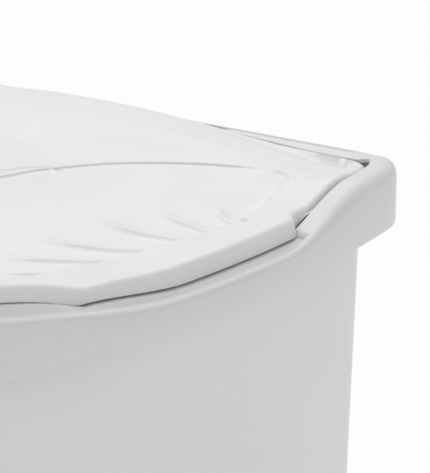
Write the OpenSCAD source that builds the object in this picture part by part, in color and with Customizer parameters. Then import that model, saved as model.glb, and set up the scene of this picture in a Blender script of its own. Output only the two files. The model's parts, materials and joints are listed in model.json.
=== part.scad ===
// Pedal trash can: a D-shaped moulded bin with a wave-edged rim collar and a scooped, ribbed lid
// that a foot pedal lifts through a lever and a rod. The front faces -Y, the back is flat, and the
// origin is on the floor under the middle of the bin. The model is symmetric about X = 0.

/* [Overall] */
// Width over the rim collar
overall_w = 410; // [330:1:500]
// Depth over the rim collar, front to back
overall_d = 380; // [310:1:470]
// Height of the rim collar's lower edge above the floor
rim_z = 524; // [420:1:640]

/* [Plan outline] */
// Radius of the back corners, at the rim
back_corner_r = 38; // [32:1:48]
// Radius of the bowed sides
side_bow_r = 680; // [560:10:820]
// Angle through which a side bows
side_turn = 24; // [20:1:28]
// Angle through which half of the front bows
front_turn = 20; // [16:1:24]

/* [Body] */
// Wall of the body
body_wall = 2.6; // [2:0.1:3.4]
// Radius of the body's back corners, where it would meet the rim's outline
body_corner_r = 49; // [44:1:56]
// How far the body lies inside the collar at the top
body_inset = 17; // [15:0.5:20]
// Draft of the body's walls, in degrees a side
body_draft = 1.68; // [1:0.02:2]
// Height of the underside of the bucket floor
floor_z = 54; // [52:1:70]
// Thickness of the bucket floor
floor_t = 3; // [2.5:0.1:5]
// Height of the foot pads, which lift the skirt clear of the ground
foot_h = 4; // [3:0.5:6]
// How far the body's top edge stands inside the collar
body_tongue = 9; // [6:0.5:11]
// Width of the pedal's opening in the skirt
pedal_gap_w = 76; // [70:1:90]

/* [Rim collar] */
// Wall of the collar
collar_wall = 2.6; // [2.2:0.1:3]
// Height of the collar at the middle of a side, where its edge is lowest
collar_trough_h = 16; // [15:0.5:18]
// Height of the collar at the back corners
collar_corner_h = 35.5; // [34:0.5:36]
// Height of the collar at the front
collar_front_h = 33; // [31:0.5:35]
// Height of the back rim, behind the lid
back_rim_h = 30; // [29:0.5:33]
// Height of the shelf behind the lid
back_shelf_h = 15; // [13:0.5:16]
// Radial width of the collar's deck along the sides and the front
deck_w = 19; // [18:0.5:20]
// Height of the inner lip that the bag folds over
inner_lip_h = 26; // [24:0.5:27]

/* [Lid] */
// Wall of the lid
lid_wall = 2.4; // [2:0.1:3]
// How far the flange lies inside the collar's edge
flange_inset = 10; // [9:0.5:11]
// How far the lid's rear part lies inside the collar's edge
rear_inset = 24; // [23.5:0.5:25]
// Height of the flange's lower edge above the collar's
flange_low_h = 25; // [24.5:0.5:26]
// Height of the lid's ridge above the collar's lower edge
ridge_h = 33.5; // [32:0.5:35]
// How far the lid's front arches up
front_rise = 17; // [12:0.5:19]
// Height of the hump along the back, over the lid's rear edge
hump_h = 16.5; // [10:0.5:18]
// Depth of the scoop below the ridge
scoop_depth = 7; // [4:0.5:9]
// Angle through which the lid opens
lid_open = 72; // [60:1:74]

/* [Hinge] */
// Distance of the hinge axis from the collar's back edge
hinge_back = 30; // [29:0.5:31]
// Height of the hinge axis above the collar's lower edge
hinge_h = 20; // [19.5:0.5:21]
// Diameter of the hinge pins
hinge_pin_d = 6; // [5:0.5:7]
// Running clearance round a pin, on the radius
pin_clear = 0.06; // [0.03:0.01:0.1]

/* [Pedal linkage] */
// Horizontal distance from the hinge axis to the lift rod
lug_arm = 22; // [20:0.5:23]
// Diameter of the lift rod
rod_d = 4; // [3.5:0.5:5]
// Clearance round the rod where it slides or swings, on the radius
rod_clear = 0.4; // [0.35:0.05:0.6]
// Half width of the slot in the lift lug
lug_slot_half = 3.5; // [3.4:0.1:3.8]
// Distance of the pedal's pivot in front of the lift rod
lever_rear = 146; // [140:1:150]
// Height of the pedal's pivot above the floor
pivot_z = 28; // [27:0.5:32]
// Diameter of the pedal's pivot pin
pivot_pin_d = 8; // [6:0.5:9]
// Width of the pedal lever's frame
lever_w = 50; // [44:1:54]
// Width of the pedal
pedal_w = 92; // [80:1:104]
// Depth of the pedal, front to back
pedal_d = 28; // [22:1:28]

/* [Hidden] */
$fn = 48;

white = "whitesmoke";
half_w = overall_w / 2;
half_d = overall_d / 2;
gap = 0.4;                 // between pieces that move against each other
draft_slope = tan(body_draft);

// The side arc's end, and the two arcs that carry the outline round to the front centre
side_c = [half_w - side_bow_r, half_d - back_corner_r];
side_end = [side_c[0] + side_bow_r * cos(side_turn), side_c[1] - side_bow_r * sin(side_turn)];
front_a = cos(side_turn) - sin(front_turn);
front_b = cos(front_turn) - sin(side_turn);
front_det = front_a * (1 - cos(front_turn)) - sin(front_turn) * front_b;
front_corner_r = (side_end[0] * (1 - cos(front_turn)) - sin(front_turn) * (side_end[1] + half_d))
    / front_det;
front_r = (front_a * (side_end[1] + half_d) - front_b * side_end[0]) / front_det;
front_corner_c = [side_end[0] - front_corner_r * cos(side_turn),
    side_end[1] + front_corner_r * sin(side_turn)];

hinge_y = half_d - hinge_back;
hinge_z = rim_z + hinge_h;
rod_y = hinge_y - lug_arm;
rod_travel = 2 * lug_arm * tan(lid_open / 2);
lug_z = hinge_z - rod_travel / 2;
pivot_y = rod_y - lever_rear;
lever_tilt = atan(rod_travel / 2 / lever_rear);
eye_z = pivot_z - rod_travel / 2;
body_top = rim_z + body_tongue;
notch_y = hinge_y - 106;

// ---- plan outlines ----

function arc(c, r, a0, a1, n) = [for (i = [0 : n]) let (a = a0 + (a1 - a0) * i / n)
    [c[0] + r * cos(a), c[1] + r * sin(a)]];
function mirrored(p) = concat(p, [for (i = [len(p) - 1 : -1 : 0]) if (abs(p[i][0]) > 0.01)
    [-p[i][0], p[i][1]]]);

// Right half of the plan, from the back centre round to the front centre, d inside the rim
function half_outline(d, n = 8, corner = back_corner_r) = concat(
    [[0, half_d - d]],
    arc([half_w - corner, half_d - corner], corner - d, 90, 0, n),
    [for (i = [1 : n - 1]) arc(side_c, side_bow_r - d, 0, -side_turn, n)[i]],
    arc(front_corner_c, front_corner_r - d, -side_turn, front_turn - 90, n),
    [for (i = [1 : n / 2]) arc([0, front_r - half_d], front_r - d, front_turn - 90, -90, n / 2)[i]]);
module plan(d, n = 8, corner = back_corner_r) { polygon(mirrored(half_outline(d, n, corner))); }

// ---- heights along the rim ----

function clamp01(t) = max(0, min(1, t));
function smooth(t) = let (u = clamp01(t)) u * u * (3 - 2 * u);
// The collar's wave: low at the middle of the sides, high at the back corners and the front
wave_back = [half_d - 140, half_d - 62];
wave_front = [-25, 5 - half_d];
function wave(y) = collar_trough_h
    + (collar_corner_h - collar_trough_h) * smooth((y - wave_back[0]) / (wave_back[1] - wave_back[0]))
    + (collar_front_h - collar_trough_h) * smooth((y - wave_front[0]) / (wave_front[1] - wave_front[0]));
// The lid's front arches up above its corner, like a visor
visor_start = 110 - half_d;
visor_end = 48 - half_d;
function visor(y) = front_rise * smooth((visor_start - y) / (visor_start - visor_end));

// Everything below the wave, lowered by drop
module under_wave(drop) {
    n = 30;
    rotate([90, 0, 90])
        linear_extrude(overall_w + 20, center = true)
            polygon(concat([[half_d + 10, -5], [half_d + 10, wave(half_d) - drop]],
                [for (i = [0 : n]) let (y = half_d - overall_d * i / n) [y, wave(y) - drop]],
                [[-half_d - 10, wave(-half_d) - drop], [-half_d - 10, -5]]));
}

// A solid of the body's taper, d inside the rim at rim_z, between two heights
module tapered(d, z0, z1) {
    slice = 0.02;
    hull() for (z = [z0, z1 - slice])
        translate([0, 0, z]) linear_extrude(slice)
            plan(d + (rim_z - z) * draft_slope, corner = body_corner_r);
}

// Inner face of the back wall, moved forward by lift: everything behind it
module behind_wall(lift = 0) {
    reach = 2 * rim_z;
    translate([-half_w, half_d - body_inset - body_wall - lift, rim_z]) rotate([-body_draft, 0, 0])
        translate([0, 0, -reach]) cube([overall_w, half_d, 2 * reach]);
}

// A cross-headed screw: its shank runs from the origin along +Z, with the head below
screw_d = 3.6;
screw_head_d = 7;
screw_head_h = 2;
module screw(length) {
    cylinder(h = length, d = screw_d);
    difference() {
        translate([0, 0, -screw_head_h]) cylinder(h = screw_head_h, d = screw_head_d);
        for (a = [0, 90]) rotate([0, 0, a])
            translate([-2, -0.5, -screw_head_h - 1]) cube([4, 1, 2]);
    }
}
module screw_hole(length) { translate([0, 0, -1]) cylinder(h = length + 1, d = screw_d + 0.2); }

// ---- fixed pieces ----

foot_d = 24;
foot_post_wall = 2.5;
feet_at = [[half_w - 87, half_d - 66], [half_w - 110, 80 - half_d]];   // back and front
guide_d = 10;
pedal_gap_back = -100;     // the opening in the skirt ends here
module foot_places() { for (s = [-1, 1], p = feet_at) translate([s * p[0], p[1], 0]) children(); }
module body_shell() {
    color(white) {
        difference() {
            tapered(body_inset, foot_h - 1, body_top);
            tapered(body_inset + body_wall, floor_z + floor_t, body_top + 1);
            tapered(body_inset + body_wall, foot_h - 2, floor_z);
            // opening for the pedal lever
            translate([-pedal_gap_w / 2, -half_d, 0])
                cube([pedal_gap_w, half_d + pedal_gap_back, floor_z - 2]);
            // seat of the lower rod guide
            translate([0, rod_y, floor_z - 1]) cylinder(h = floor_t + 2, d = guide_d);
            bracket_screw_places() screw_hole(bracket_t + floor_t - 0.5);
            collar_screw_places() screw_hole(collar_screw_len);
            channel_screw_places() screw_hole(channel_screw_len);
        }
        // hollow posts that carry the feet
        foot_places() difference() {
            translate([0, 0, foot_h]) cylinder(h = floor_z - foot_h, d = foot_d);
            translate([0, 0, foot_h + floor_t]) cylinder(h = floor_z, d = foot_d - 2 * foot_post_wall);
        }
    }
}

module rubber_feet() { color("dimgray") foot_places() cylinder(h = foot_h, d = foot_d); }

// Places of the screws that hold the collar to the body: two a side, two at the back, one in front
collar_screw_h = 4.5;
collar_screw_len = 10;
collar_screw_side_y = half_d - 60;
collar_screw_back_x = half_w - 115;
collar_boss_d = 8;
chord = 0.35;              // the outline's chords lie less than this inside its arcs
function side_x(y, d) = side_c[0] + sqrt(pow(side_bow_r - d, 2) - pow(y - side_c[1], 2));
module collar_screw_places(start = body_inset + body_wall + chord) {
    z = rim_z + collar_screw_h;
    for (s = [-1, 1]) {
        translate([s * side_x(collar_screw_side_y, start), collar_screw_side_y, z])
            rotate([0, s * 90, 0]) children();
        translate([s * collar_screw_back_x, half_d - start, z]) rotate([-90, 0, 0]) children();
    }
    translate([0, start - half_d, z]) rotate([90, 0, 0]) children();
}
module collar_screws() { color("silver") collar_screw_places() screw(collar_screw_len); }

hinge_boss_w = 12;         // length of the pin's seat in the collar's corner
boss_sunk = 0.8;           // how far the seat's boss reaches into the ledge's wall
tall = 60;                 // more than the collar's height, for the cuts through it
recess_ahead = 8;          // the recess starts this far behind the hinge
back_bead = 4;             // thickness of the back rim
mouth_back = 14;           // the mouth's square part starts this far in front of the hinge
ear_slot = 27;             // length of the slot that a hinge ear swings in
lip_front_y = -60;         // the bag's lip ends here in front
ledge_inset = rear_inset - 1.6;
hinge_side_x = half_w - ledge_inset;
recess_half = half_w - back_corner_r - 2;
pin_boss_d = hinge_pin_d + 6;
module collar_ring(outer, inner, z0, z1) {
    translate([0, 0, z0]) linear_extrude(z1 - z0) difference() { plan(outer); plan(inner); }
}
// The trough behind the lid, which the lid's hump dips into as it opens
module recess(grow = 0) {
    translate([-recess_half - grow, hinge_y + recess_ahead - grow, back_shelf_h - grow])
        cube([2 * (recess_half + grow), hinge_back - recess_ahead - back_bead + 2 * grow, tall]);
}
module rim_collar() {
    web = deck_w - collar_wall;
    color(white) translate([0, 0, rim_z]) {
        difference() {
            union() {
                intersection() {
                    collar_ring(0, deck_w, 0, tall);
                    under_wave(0);
                }
                // the wider ledge beside the lid's rear part
                intersection() {
                    collar_ring(deck_w - 0.5, ledge_inset, body_tongue, tall);
                    under_wave(0);
                    translate([-half_w, notch_y, 0]) cube([overall_w, half_d, tall]);
                }
                // bosses of the screws into the body
                intersection() {
                    translate([0, 0, -rim_z]) collar_screw_places(body_inset - 0.2)
                        cylinder(h = body_inset, d = collar_boss_d);
                    linear_extrude(20) plan(1);
                }
            }
            difference() {
                // hollow underside, open below
                intersection() {
                    collar_ring(collar_wall, web, -1, tall);
                    under_wave(collar_wall);
                }
                recess(collar_wall);
                translate([0, 0, -rim_z]) collar_screw_places(body_inset - 0.2)
                    cylinder(h = body_inset - 1.5, d = collar_boss_d);
                pin_bosses();
            }
            // the inner wall stands on the body's top edge
            collar_ring(web - 0.1, ledge_inset + 1, -1, body_tongue);
            recess();
            translate([-recess_half, hinge_y, back_rim_h]) cube([2 * recess_half, tall, tall]);
            // the mouth is square behind the lid, out to the ears' slots
            translate([-recess_half, hinge_y - mouth_back, -1])
                cube([2 * recess_half, mouth_back + hinge_back - deck_w, tall]);
            for (s = [-1, 1])
                translate([s * (recess_half + hinge_side_x - 2 * boss_sunk) / 2, hinge_y - 0.5, 0])
                    cube([hinge_side_x - recess_half, ear_slot, 2 * tall], center = true);
            for (s = [-1, 1]) translate([s * (hinge_side_x - boss_sunk), hinge_y, hinge_h])
                rotate([0, s * 90, 0]) cylinder(h = hinge_boss_w + boss_sunk, d = hinge_pin_d + 0.02);
            translate([0, 0, -rim_z]) collar_screw_places() screw_hole(collar_screw_len);
        }
        // inner lip along the sides and the front
        difference() {
            collar_ring(web, deck_w, collar_trough_h - 3, inner_lip_h);
            translate([-half_w, notch_y - 2, -1]) cube([overall_w, overall_d, tall]);
            translate([-half_w, -half_d, -1]) cube([overall_w, half_d + lip_front_y, tall]);
        }
    }
}
module pin_bosses() {
    for (s = [-1, 1]) translate([s * (hinge_side_x - boss_sunk), hinge_y, hinge_h])
        rotate([0, s * 90, 0]) cylinder(h = hinge_boss_w, d = pin_boss_d);
}

ear_w = 8;
ear_x = hinge_side_x - 3 - ear_w / 2;
module hinge_pin(s) {
    color("silver") translate([s * (ear_x - ear_w / 2 - 2), hinge_y, hinge_z]) rotate([0, s * 90, 0])
        cylinder(h = ear_w + 5 + hinge_boss_w - 1, d = hinge_pin_d);
}
module hinge_pin_left() { hinge_pin(-1); }
module hinge_pin_right() { hinge_pin(1); }

// ---- lid ----

rim_n = 8;                 // steps in each arc of the lid's outline
step_w = 4;                // length of the notch where the flange ends
function lid_half() = concat(
    [for (p = half_outline(rear_inset, rim_n)) if (p[1] > notch_y + step_w + 1) p],
    [[side_x(notch_y + step_w, rear_inset), notch_y + step_w],
        [side_x(notch_y, flange_inset), notch_y]],
    [for (p = half_outline(flange_inset, rim_n)) if (p[1] < notch_y - 1) p]);
lid_plan = mirrored(lid_half());

hump_half = half_w - 55;
function hump(x) = hump_h * pow(cos(90 * min(1, abs(x) / hump_half)), 1.3);
// The scoop lies in front of a tongue, whose edges run from the middle to the back corners
tongue_y = 20;
tongue_slope = 0.71;
tongue_blend = 16;
function scoop(x, y) = 1 - smooth((y - tongue_y - tongue_slope * abs(x) + tongue_blend) / 2 / tongue_blend);
function crown(x, y) = hump(x) * pow(clamp01((y - tongue_y) / (hinge_y - 10 - tongue_y)), 1.6);
// Height of the top above the collar's lower edge; k runs from 0 at the middle to 1 at the edge
function top_h(x, y, k) = let (edge = smooth((k - 0.8) / 0.14), front = smooth((notch_y + 10 - y) / 20))
    ridge_h - 2 + crown(x, y) - scoop_depth * scoop(x, y) * (1 - edge)
    + edge * (2 * front + visor(y)) - 2 * smooth((k - 0.92) / 0.08) * (1 - front);

lid_skin = lid_wall + 0.4;
ring_k = [0.1, 0.22, 0.34, 0.45, 0.55, 0.64, 0.72, 0.79, 0.85, 0.9, 0.94, 0.98];
function ring(k, drop) = [for (p = lid_plan) [p[0] * k, p[1] * k, top_h(p[0] * k, p[1] * k, k) - drop]];
function edge_ring(inward, lift) = [for (p = lid_plan) let (l = norm(p))
    [p[0] * (1 - inward / l), p[1] * (1 - inward / l), flange_low_h + visor(p[1]) + lift]];
module lid_skin_solid() {
    m = len(lid_plan);
    top = [for (k = ring_k) each ring(k, 0)];
    side = concat(edge_ring(0, 4), edge_ring(0, 0), edge_ring(lid_wall, 0), edge_ring(lid_wall + 0.6, 3.2));
    under = [for (i = [len(ring_k) - 2 : -1 : 0]) each ring(ring_k[i], lid_skin)];
    rings = 2 * len(ring_k) + 3;
    pts = concat([[0, 0, top_h(0, 0, 0)]], top, side, under, [[0, 0, top_h(0, 0, 0) - lid_skin]]);
    last = len(pts) - 1;
    faces = concat(
        [for (j = [0 : m - 1]) [0, 1 + j, 1 + (j + 1) % m]],
        [for (i = [0 : rings - 2], j = [0 : m - 1]) let (a = 1 + i * m, b = a + m, q = (j + 1) % m)
            each [[a + j, b + q, a + q], [a + j, b + j, b + q]]],
        [for (j = [0 : m - 1]) let (a = 1 + (rings - 1) * m) [a + j, last, a + (j + 1) % m]]);
    polyhedron(pts, faces);
}

bar_y = hinge_y - 8.5;     // middle of the hinge frame's bar
bar_d = 9;
bar_t = 6;
bar_top_h = hinge_h + bar_t / 2;
frame_screw_x = [62, half_w - 80];
frame_screw_len = bar_t + 6;
boss_d = 9;
bumper_d = 5;
bumper_seat_h = inner_lip_h + 2.6;
bumper_y = [-40, 20];
module frame_screw_places() {
    for (s = [-1, 1], x = frame_screw_x)
        translate([s * x, bar_y, rim_z + bar_top_h - bar_t]) children();
}
module bumper_places() {
    for (s = [-1, 1], y = bumper_y)
        translate([s * side_x(y, deck_w - collar_wall / 2), y, rim_z]) children();
}
module lid_shell() {
    color(white) difference() {
        union() {
            translate([0, 0, rim_z]) lid_skin_solid();
            for (s = [-1, 1], x = frame_screw_x) translate([s * x, bar_y, rim_z + bar_top_h])
                cylinder(h = top_h(x, bar_y, 0.91) - bar_top_h - lid_skin / 2, d = boss_d);
            bumper_places() translate([0, 0, bumper_seat_h])
                cylinder(h = ridge_h - lid_skin / 2 - bumper_seat_h, d = bumper_d);
        }
        frame_screw_places() screw_hole(frame_screw_len);
    }
}
module lid_bumpers() {
    color("dimgray") bumper_places() translate([0, 0, inner_lip_h + gap])
        cylinder(h = bumper_seat_h - inner_lip_h - gap, d = bumper_d);
}
module lid_frame_screws() { color("silver") frame_screw_places() screw(frame_screw_len); }

// Moulded frame under the lid's rear: a bar, two ears on the pins and a slotted lug on the rod
ear_d = hinge_pin_d + 3.6;
lug_x = rod_d / 2 + 2;     // the lug's inner face
lug_t = 5;
lug_wall = 3.5;            // round the slot
lug_half = lug_slot_half + lug_wall;
lug_root = [6, 8];         // depth of the lug's upright root, and its height above the lug's middle
slot_in = lug_arm - rod_d / 2 - 1.5;
slot_out = lug_arm / cos(lid_open / 2) + rod_d / 2 + 1.2;
module lid_hinge_frame() {
    color(white) difference() {
        union() {
            translate([-ear_x - ear_w / 2, bar_y - bar_d / 2, rim_z + bar_top_h - bar_t])
                cube([2 * ear_x + ear_w, bar_d, bar_t]);
            for (s = [-1, 1]) translate([s * ear_x - ear_w / 2, hinge_y, hinge_z]) {
                rotate([0, 90, 0]) cylinder(h = ear_w, d = ear_d);
                translate([0, bar_y - hinge_y, -ear_d / 2]) cube([ear_w, hinge_y - bar_y, ear_d]);
            }
            translate([lug_x, hinge_y, hinge_z]) rotate([lid_open / 2, 0, 0]) {
                translate([0, -slot_out - lug_wall, -lug_half]) cube([lug_t, slot_out - 4, 2 * lug_half]);
                translate([0, -7 - lug_root[0], -lug_half])
                    cube([lug_t, lug_root[0], lug_half + lug_root[1]]);
            }
        }
        for (s = [-1, 1]) translate([s * ear_x - ear_w, hinge_y, hinge_z]) rotate([0, 90, 0])
            cylinder(h = 2 * ear_w, d = hinge_pin_d + 2 * pin_clear);
        translate([lug_x - 1, hinge_y, hinge_z]) rotate([lid_open / 2, 0, 0])
            translate([0, -slot_out, -lug_slot_half])
                cube([lug_t + 2, slot_out - slot_in, 2 * lug_slot_half]);
        frame_screw_places() screw_hole(frame_screw_len);
    }
}

// ---- lift rod and its channel ----

rod_leg = lug_x + lug_t + 5;
cap_t = 3.5;
cap_x = lug_x + lug_t + 1;
module rod_line() {
    translate([0, rod_y, eye_z]) cylinder(h = lug_z - eye_z, d = rod_d);
    for (z = [eye_z, lug_z]) translate([0, rod_y, z]) {
        sphere(d = rod_d);
        rotate([0, 90, 0]) cylinder(h = rod_leg, d = rod_d);
    }
}
module lift_rod() { color("silver") rod_line(); }
module rod_end_caps() {
    color("dimgray") for (z = [eye_z, lug_z]) translate([cap_x, rod_y, z]) rotate([0, 90, 0])
        difference() {
            cylinder(h = cap_t, d = rod_d + 5);
            translate([0, 0, -1]) cylinder(h = cap_t + 2, d = rod_d);
        }
}

rod_bore = rod_d + 2 * rod_clear;
flange_t = 1.5;
module rod_guide_lower() {
    color("dimgray") translate([0, rod_y, floor_z]) difference() {
        union() {
            cylinder(h = floor_t, d = guide_d);
            translate([0, 0, floor_t]) cylinder(h = flange_t, d = guide_d + 6);
        }
        translate([0, 0, -1]) cylinder(h = floor_t + flange_t + 2, d = rod_bore);
    }
}

channel_half = 11;
channel_wall = 2;
channel_front = 9;         // from the rod to the channel's front face
channel_flange = 10;
channel_z = [floor_z + floor_t + flange_t + 1, rim_z - 42];
channel_screw_x = channel_half + channel_wall + channel_flange / 2;
channel_screw_z = [channel_z[0] + 60, channel_z[1] - 40];
channel_plate = 2.5;
channel_screw_len = channel_plate + body_wall - 0.6;
guide_block_h = 8;
module channel_screw_places() {
    for (s = [-1, 1], z = channel_screw_z)
        translate([s * channel_screw_x, half_d - body_inset - body_wall - (rim_z - z) * draft_slope, z])
            rotate([-90 - body_draft, 0, 0]) translate([0, 0, -channel_plate]) children();
}
module rod_channel_cover() {
    outer = channel_half + channel_wall;
    front_y = rod_y - channel_front;
    tall = channel_z[1] - channel_z[0];
    color(white) difference() {
        union() {
            translate([-outer, front_y, channel_z[0]]) cube([2 * outer, half_d - front_y, tall]);
            intersection() {
                translate([-outer - channel_flange, front_y, channel_z[0]])
                    cube([2 * (outer + channel_flange), half_d - front_y, tall]);
                behind_wall(channel_plate);
            }
        }
        behind_wall(0.01);
        translate([-channel_half, front_y + channel_wall, channel_z[0] - 1])
            cube([2 * channel_half, half_d, tall + 2]);
        channel_screw_places() screw_hole(channel_screw_len);
    }
}
module channel_screws() { color("silver") channel_screw_places() screw(channel_screw_len); }
module rod_guide_upper() {
    color("dimgray") translate([0, 0, channel_z[1] - guide_block_h - 4]) difference() {
        translate([-channel_half, rod_y - channel_front + channel_wall, 0])
            cube([2 * channel_half, 2 * (channel_front - channel_wall), guide_block_h]);
        translate([0, rod_y, -1]) cylinder(h = guide_block_h + 2, d = rod_bore);
    }
}

// ---- pedal ----

lever_t = 5;
lever_rib_h = 6;
lever_rib_t = 3;
neck_l = 40;               // from the eye back to the lever's full width
window_l = 70;
pedal_clear = 2.5;         // between the pad and the skirt
rib_clear = 12;            // from the pad to the start of the lever's ribs
eye_d = rod_d + 8;
eye_w = lug_t;
skirt_front = half_d - body_inset - (rim_z - floor_z) * draft_slope;
pedal_y = -skirt_front - pedal_clear - pedal_d / 2;
pedal_t = 6;
pad_end = pedal_d / 2 - 2; // the pad's straight part stops this far from its ends
tread_w = pedal_w - 30;
tread_d = pedal_d - 10;
tread_t = 1.6;
tread_ribs = 5;
tread_rib = [1.6, 1.2];    // width and height
module at_pivot() {
    translate([0, pivot_y, pivot_z]) rotate([-lever_tilt, 0, 0]) children();
}
lever_front = pedal_y - pivot_y;
eye_r = lever_rear / cos(lever_tilt);
module pedal_lever() {
    neck_y = eye_r - neck_l;
    rib_y = lever_front + pedal_d / 2 + rib_clear;
    color("silver") at_pivot() difference() {
        union() {
            rotate([0, 90, 0]) cylinder(h = lever_w, d = pivot_pin_d + 7, center = true);
            translate([-lever_w / 2, lever_front - pedal_d / 2 + 4, -lever_t / 2])
                cube([lever_w, neck_y - lever_front + pedal_d / 2 - 4, lever_t]);
            for (s = [-1, 1])
                translate([s * (lever_w - lever_rib_t) / 2 - lever_rib_t / 2, rib_y, -lever_t / 2])
                    cube([lever_rib_t, neck_y - rib_y, lever_t + lever_rib_h]);
            // neck that carries the rod's eye
            translate([lug_x - 4, neck_y - 4, -lever_t / 2]) cube([eye_w + 8, 20, lever_t]);
            translate([lug_x, neck_y - 4, -eye_d / 2]) cube([eye_w, eye_r - neck_y + 4, eye_d]);
            translate([lug_x, eye_r, 0]) rotate([0, 90, 0]) cylinder(h = eye_w, d = eye_d);
        }
        rotate([0, 90, 0]) cylinder(h = lever_w + 2, d = pivot_pin_d + 2 * pin_clear, center = true);
        for (shift = [-1, 1]) translate([lug_x - 1, eye_r + shift, 0]) rotate([0, 90, 0])
            cylinder(h = eye_w + 2, d = rod_bore);
        translate([lug_x - 1, eye_r - 1, -rod_bore / 2]) cube([eye_w + 2, 2, rod_bore]);
        // lightening window
        translate([-lever_w / 4, lever_front + pedal_d, -lever_t]) cube([lever_w / 2, window_l, 2 * lever_t]);
    }
}
module pedal_pad() {
    color(white) at_pivot() difference() {
        union() {
            translate([-pedal_w / 2 + pad_end, lever_front - pedal_d / 2, lever_t / 2])
                cube([pedal_w - 2 * pad_end, pedal_d, pedal_t]);
            for (s = [-1, 1]) intersection() {
                translate([s * (pedal_w / 2 - pedal_d / 2), lever_front, lever_t / 2])
                    cylinder(h = pedal_t, d = pedal_d);
                translate([s * pedal_w / 4 - pedal_w / 4, lever_front - pedal_d, 0])
                    cube([pedal_w / 2, 2 * pedal_d, 2 * pedal_t]);
            }
        }
        // pocket of the tread
        translate([-tread_w / 2, lever_front - tread_d / 2, lever_t / 2 + pedal_t - tread_t])
            cube([tread_w, tread_d, pedal_t]);
    }
}
module pedal_tread() {
    rib_pitch = (tread_d - 2) / (tread_ribs - 1);
    color("dimgray") at_pivot() translate([0, lever_front, lever_t / 2 + pedal_t - tread_t]) {
        translate([-tread_w / 2, -tread_d / 2, 0]) cube([tread_w, tread_d, tread_t]);
        for (i = [0 : tread_ribs - 1]) translate([0, (i - (tread_ribs - 1) / 2) * rib_pitch, tread_t - 0.01])
            translate([2 - tread_w / 2, -tread_rib[0] / 2, 0])
                cube([tread_w - 4, tread_rib[0], tread_rib[1]]);
    }
}

bracket_t = 3;
bracket_d = 26;
bracket_x = lever_w / 2 + 1;
bracket_screw_x = [bracket_x + 12, bracket_x + 30];
bracket_out = 36;
bracket_upright = 4;
clip_t = 1.2;
module bracket_screw_places() {
    for (s = [-1, 1], x = bracket_screw_x)
        translate([s * x, pivot_y, floor_z - bracket_t]) children();
}
module pivot_bracket(s) {
    color("silver") difference() {
        union() {
            translate([s > 0 ? bracket_x : -bracket_x - bracket_out, pivot_y - bracket_d / 2, 0])
                translate([0, 0, floor_z - bracket_t]) cube([bracket_out, bracket_d, bracket_t]);
            translate([s > 0 ? bracket_x : -bracket_x - bracket_upright, pivot_y - bracket_d / 2, pivot_z])
                cube([bracket_upright, bracket_d, floor_z - pivot_z]);
            translate([s > 0 ? bracket_x : -bracket_x - bracket_upright, pivot_y, pivot_z]) rotate([0, 90, 0])
                cylinder(h = bracket_upright, d = bracket_d);
        }
        translate([0, pivot_y, pivot_z]) rotate([0, 90, 0])
            cylinder(h = 4 * bracket_x, d = pivot_pin_d + 0.02, center = true);
        bracket_screw_places() screw_hole(bracket_t + 1);
    }
}
module pivot_bracket_left() { pivot_bracket(-1); }
module pivot_bracket_right() { pivot_bracket(1); }
module bracket_screws() { color("silver") bracket_screw_places() screw(bracket_t + floor_t - 0.6); }
pin_half = bracket_x + bracket_upright + clip_t + 2.4;
module pedal_pivot_pin() {
    color("silver") translate([0, pivot_y, pivot_z]) rotate([0, 90, 0])
        cylinder(h = 2 * pin_half, d = pivot_pin_d, center = true);
}
module pivot_pin_clips() {
    x = bracket_x + bracket_upright + clip_t / 2 + 0.1;
    color("silver") for (s = [-1, 1]) translate([s * x, pivot_y, pivot_z])
        rotate([0, 90, 0]) difference() {
            cylinder(h = clip_t, d = pivot_pin_d + 7, center = true);
            cylinder(h = clip_t + 2, d = pivot_pin_d + 0.02, center = true);
        }
}

body_shell();
rim_collar();
collar_screws();
lid_shell();
lid_hinge_frame();
lid_frame_screws();
lid_bumpers();
hinge_pin_left();
hinge_pin_right();
lift_rod();
rod_end_caps();
rod_guide_lower();
rod_guide_upper();
rod_channel_cover();
channel_screws();
pedal_lever();
pedal_pad();
pedal_tread();
pedal_pivot_pin();
pivot_bracket_left();
pivot_bracket_right();
bracket_screws();
pivot_pin_clips();
rubber_feet();
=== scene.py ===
"""Pedal trash can: the moulded shells, the pedal and the finishes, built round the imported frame.

The front faces -Y, the flat back faces +Y and the floor is at z = 0. Heights written as "above the
collar" start at the rim collar's lower edge. The shells are symmetric about x = 0.
"""

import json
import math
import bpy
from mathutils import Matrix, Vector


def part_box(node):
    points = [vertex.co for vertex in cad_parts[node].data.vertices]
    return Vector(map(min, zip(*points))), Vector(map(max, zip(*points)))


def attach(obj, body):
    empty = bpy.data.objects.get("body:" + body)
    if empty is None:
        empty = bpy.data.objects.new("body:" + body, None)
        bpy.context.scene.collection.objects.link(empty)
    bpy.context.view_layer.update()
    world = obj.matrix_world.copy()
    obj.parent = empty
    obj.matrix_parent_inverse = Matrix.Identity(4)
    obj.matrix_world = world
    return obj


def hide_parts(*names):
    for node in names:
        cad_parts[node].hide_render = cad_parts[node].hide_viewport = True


bl_info = {
    "name": "Pedal trash can",
    "version": (1, 0, 0),
    "blender": (4, 5, 0),
    "location": "View3D > Sidebar > Pedal bin",
    "description": "Builds the moulded shells and finishes of a step-on bin round its frame",
    "category": "Add Mesh",
}

import bmesh
import bpy
import numpy as np
from bpy.props import FloatProperty, FloatVectorProperty, PointerProperty
from mathutils import Matrix, Vector
from mathutils.geometry import delaunay_2d_cdt

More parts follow.
